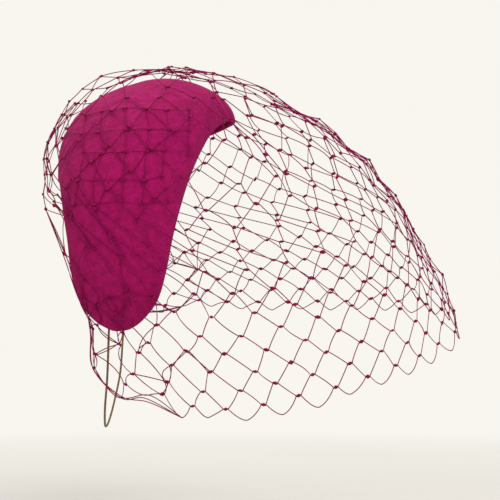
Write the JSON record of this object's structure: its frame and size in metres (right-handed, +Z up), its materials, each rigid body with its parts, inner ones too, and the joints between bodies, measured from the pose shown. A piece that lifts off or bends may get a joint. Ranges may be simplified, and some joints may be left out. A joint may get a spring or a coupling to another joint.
{
  "type": "fascinator",
  "caption": "Felt teardrop cocktail hat worn over the crown and one ear, with a diamond net veil before the face and a hat elastic.",
  "frame": {"origin": "on top of the wearer's head, under the middle of the crown, where the hat sits", "axes": "+Z up, -Y the way the wearer looks, -X towards the wearer's right ear, where the felt's tip is"},
  "size_m": [0.1743, 0.2416, 0.2047],
  "materials": {
    "felt": "wool felt",
    "net": "stiffened net",
    "elastic": "braided"
  },
  "bodies": {
    "root": {"felt_hat": "felt", "veil": "net", "hat_elastic": "elastic"}
  },
  "joints": []
}
